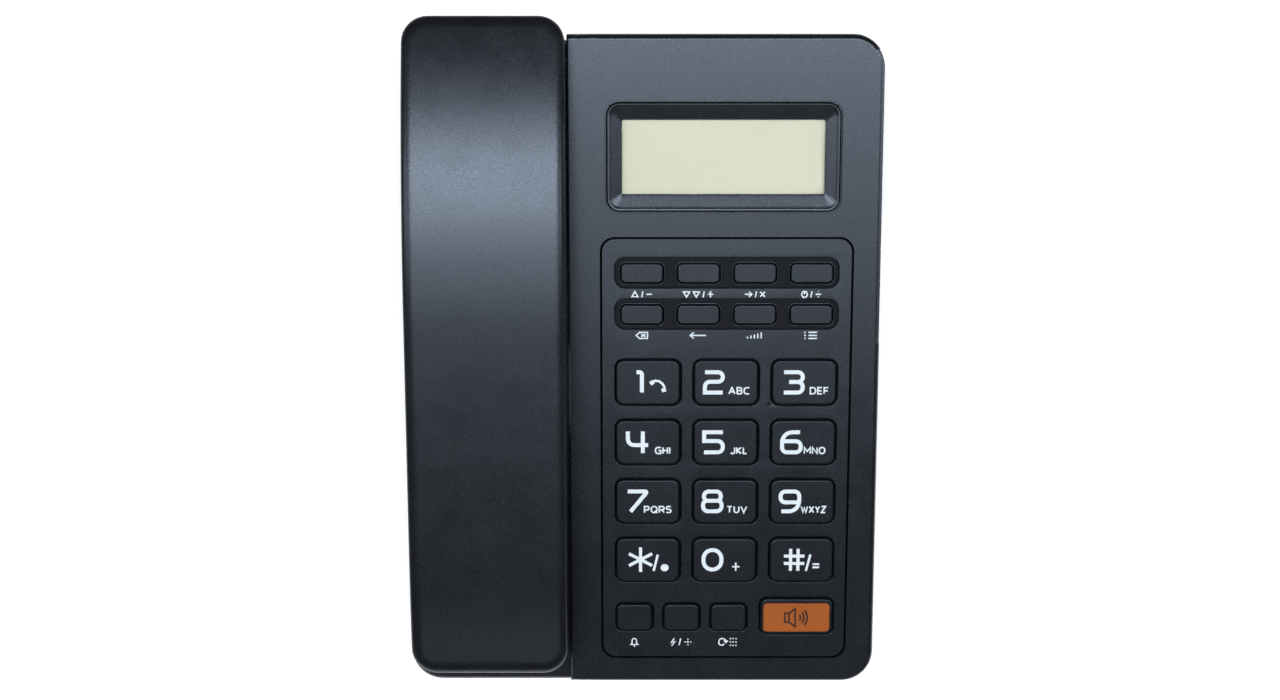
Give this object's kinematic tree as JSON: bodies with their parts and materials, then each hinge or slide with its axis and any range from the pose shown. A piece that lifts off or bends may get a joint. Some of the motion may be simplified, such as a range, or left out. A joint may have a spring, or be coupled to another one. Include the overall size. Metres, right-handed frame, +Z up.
{
  "type": "corded desk telephone",
  "caption": "Wedge desk telephone with a bar handset along its left side, a caller display and a flush keypad of push keys.",
  "frame": {"origin": "on the table under the middle of the whole telephone", "axes": "+X to the user's right, +Y to the rear, +Z up"},
  "size_m": [0.1502, 0.2084, 0.07],
  "materials": {
    "housing": "fine spark grain",
    "panel": "fine grain",
    "strip": "fine grain",
    "key_plastic": "fine grain, pale printed figures",
    "speaker_key": "satin",
    "window": "clear",
    "display": "flat",
    "mat": "matte",
    "foot": "matte",
    "board": "satin",
    "spring": "bright",
    "switch": "matte",
    "speaker": "plated",
    "capsule": "satin",
    "weight": "plain",
    "socket": "satin",
    "cell": "plain wrapped",
    "contact": "nickel"
  },
  "bodies": {
    "base": {"top_cover": "housing", "bottom_cover": "housing", "keypad_panel": "panel", "key_strip_upper": "strip", "key_strip_lower": "strip", "display_bezel": "housing", "display_window": "window", "display_panel": "display", "key_mat": "mat", "main_board": "board", "hook_spring": "spring", "hook_switch": "switch", "hook_board": "board", "loudspeaker": "speaker", "hands_free_microphone": "capsule", "handset_socket": "socket", "line_socket": "socket", "battery_cells": "cell", "battery_contacts": "contact", "rubber_feet": "foot"},
    "handset": {"handset_back": "housing", "handset_inner": "housing", "receiver_capsule": "speaker", "handset_microphone": "capsule", "microphone_boot": "mat", "handset_weight": "weight", "handset_jack": "socket"},
    "hook": {"hook_plunger": "key_plastic"},
    "battery_door": {"battery_door": "housing"},
    "key_1": {"key_1": "key_plastic"},
    "key_2": {"key_2": "key_plastic"},
    "key_3": {"key_3": "key_plastic"},
    "key_4": {"key_4": "key_plastic"},
    "key_5": {"key_5": "key_plastic"},
    "key_6": {"key_6": "key_plastic"},
    "key_7": {"key_7": "key_plastic"},
    "key_8": {"key_8": "key_plastic"},
    "key_9": {"key_9": "key_plastic"},
    "key_star": {"key_star": "key_plastic"},
    "key_0": {"key_0": "key_plastic"},
    "key_hash": {"key_hash": "key_plastic"},
    "key_up": {"key_up": "key_plastic"},
    "key_down": {"key_down": "key_plastic"},
    "key_out": {"key_out": "key_plastic"},
    "key_set": {"key_set": "key_plastic"},
    "key_delete": {"key_delete": "key_plastic"},
    "key_back": {"key_back": "key_plastic"},
    "key_volume": {"key_volume": "key_plastic"},
    "key_calls": {"key_calls": "key_plastic"},
    "key_ring": {"key_ring": "key_plastic"},
    "key_flash": {"key_flash": "key_plastic"},
    "key_redial": {"key_redial": "key_plastic"},
    "key_speaker": {"key_speaker": "key_plastic", "key_speaker_face": "speaker_key"}
  },
  "joints": [
    {"name": "handset_lift", "type": "slide", "parent": "base", "child": "handset", "axis": [0, -0.1908, 0.9816], "range_m": [0, 0.11]},
    {"name": "hook_rise", "type": "slide", "parent": "base", "child": "hook", "axis": [0, -0.1908, 0.9816], "range_m": [0, 0.0045], "deforming": ["hook_spring"]},
    {"name": "door_slide", "type": "slide", "parent": "base", "child": "battery_door", "axis": [0, 1, 0], "range_m": [0, 0.04]},
    {"name": "key_1_press", "type": "slide", "parent": "base", "child": "key_1", "axis": [0, 0.1908, -0.9816], "range_m": [0, 0.0015], "stiffness_N_per_m": 250, "springref_m": -0.002, "deforming": ["key_mat"]},
    {"name": "key_2_press", "type": "slide", "parent": "base", "child": "key_2", "axis": [0, 0.1908, -0.9816], "range_m": [0, 0.0015], "stiffness_N_per_m": 250, "springref_m": -0.002, "deforming": ["key_mat"]},
    {"name": "key_3_press", "type": "slide", "parent": "base", "child": "key_3", "axis": [0, 0.1908, -0.9816], "range_m": [0, 0.0015], "stiffness_N_per_m": 250, "springref_m": -0.002, "deforming": ["key_mat"]},
    {"name": "key_4_press", "type": "slide", "parent": "base", "child": "key_4", "axis": [0, 0.1908, -0.9816], "range_m": [0, 0.0015], "stiffness_N_per_m": 250, "springref_m": -0.002, "deforming": ["key_mat"]},
    {"name": "key_5_press", "type": "slide", "parent": "base", "child": "key_5", "axis": [0, 0.1908, -0.9816], "range_m": [0, 0.0015], "stiffness_N_per_m": 250, "springref_m": -0.002, "deforming": ["key_mat"]},
    {"name": "key_6_press", "type": "slide", "parent": "base", "child": "key_6", "axis": [0, 0.1908, -0.9816], "range_m": [0, 0.0015], "stiffness_N_per_m": 250, "springref_m": -0.002, "deforming": ["key_mat"]},
    {"name": "key_7_press", "type": "slide", "parent": "base", "child": "key_7", "axis": [0, 0.1908, -0.9816], "range_m": [0, 0.0015], "stiffness_N_per_m": 250, "springref_m": -0.002, "deforming": ["key_mat"]},
    {"name": "key_8_press", "type": "slide", "parent": "base", "child": "key_8", "axis": [0, 0.1908, -0.9816], "range_m": [0, 0.0015], "stiffness_N_per_m": 250, "springref_m": -0.002, "deforming": ["key_mat"]},
    {"name": "key_9_press", "type": "slide", "parent": "base", "child": "key_9", "axis": [0, 0.1908, -0.9816], "range_m": [0, 0.0015], "stiffness_N_per_m": 250, "springref_m": -0.002, "deforming": ["key_mat"]},
    {"name": "key_star_press", "type": "slide", "parent": "base", "child": "key_star", "axis": [0, 0.1908, -0.9816], "range_m": [0, 0.0015], "stiffness_N_per_m": 250, "springref_m": -0.002, "deforming": ["key_mat"]},
    {"name": "key_0_press", "type": "slide", "parent": "base", "child": "key_0", "axis": [0, 0.1908, -0.9816], "range_m": [0, 0.0015], "stiffness_N_per_m": 250, "springref_m": -0.002, "deforming": ["key_mat"]},
    {"name": "key_hash_press", "type": "slide", "parent": "base", "child": "key_hash", "axis": [0, 0.1908, -0.9816], "range_m": [0, 0.0015], "stiffness_N_per_m": 250, "springref_m": -0.002, "deforming": ["key_mat"]},
    {"name": "key_up_press", "type": "slide", "parent": "base", "child": "key_up", "axis": [0, 0.1908, -0.9816], "range_m": [0, 0.0015], "stiffness_N_per_m": 250, "springref_m": -0.002, "deforming": ["key_mat"]},
    {"name": "key_down_press", "type": "slide", "parent": "base", "child": "key_down", "axis": [0, 0.1908, -0.9816], "range_m": [0, 0.0015], "stiffness_N_per_m": 250, "springref_m": -0.002, "deforming": ["key_mat"]},
    {"name": "key_out_press", "type": "slide", "parent": "base", "child": "key_out", "axis": [0, 0.1908, -0.9816], "range_m": [0, 0.0015], "stiffness_N_per_m": 250, "springref_m": -0.002, "deforming": ["key_mat"]},
    {"name": "key_set_press", "type": "slide", "parent": "base", "child": "key_set", "axis": [0, 0.1908, -0.9816], "range_m": [0, 0.0015], "stiffness_N_per_m": 250, "springref_m": -0.002, "deforming": ["key_mat"]},
    {"name": "key_delete_press", "type": "slide", "parent": "base", "child": "key_delete", "axis": [0, 0.1908, -0.9816], "range_m": [0, 0.0015], "stiffness_N_per_m": 250, "springref_m": -0.002, "deforming": ["key_mat"]},
    {"name": "key_back_press", "type": "slide", "parent": "base", "child": "key_back", "axis": [0, 0.1908, -0.9816], "range_m": [0, 0.0015], "stiffness_N_per_m": 250, "springref_m": -0.002, "deforming": ["key_mat"]},
    {"name": "key_volume_press", "type": "slide", "parent": "base", "child": "key_volume", "axis": [0, 0.1908, -0.9816], "range_m": [0, 0.0015], "stiffness_N_per_m": 250, "springref_m": -0.002, "deforming": ["key_mat"]},
    {"name": "key_calls_press", "type": "slide", "parent": "base", "child": "key_calls", "axis": [0, 0.1908, -0.9816], "range_m": [0, 0.0015], "stiffness_N_per_m": 250, "springref_m": -0.002, "deforming": ["key_mat"]},
    {"name": "key_ring_press", "type": "slide", "parent": "base", "child": "key_ring", "axis": [0, 0.1908, -0.9816], "range_m": [0, 0.0015], "stiffness_N_per_m": 250, "springref_m": -0.002, "deforming": ["key_mat"]},
    {"name": "key_flash_press", "type": "slide", "parent": "base", "child": "key_flash", "axis": [0, 0.1908, -0.9816], "range_m": [0, 0.0015], "stiffness_N_per_m": 250, "springref_m": -0.002, "deforming": ["key_mat"]},
    {"name": "key_redial_press", "type": "slide", "parent": "base", "child": "key_redial", "axis": [0, 0.1908, -0.9816], "range_m": [0, 0.0015], "stiffness_N_per_m": 250, "springref_m": -0.002, "deforming": ["key_mat"]},
    {"name": "key_speaker_press", "type": "slide", "parent": "base", "child": "key_speaker", "axis": [0, 0.1908, -0.9816], "range_m": [0, 0.0015], "stiffness_N_per_m": 250, "springref_m": -0.002, "deforming": ["key_mat"]}
  ],
  "couplings": [
    {"joint": "hook_rise", "follows": "handset_lift", "ratio": 0.04}
  ]
}
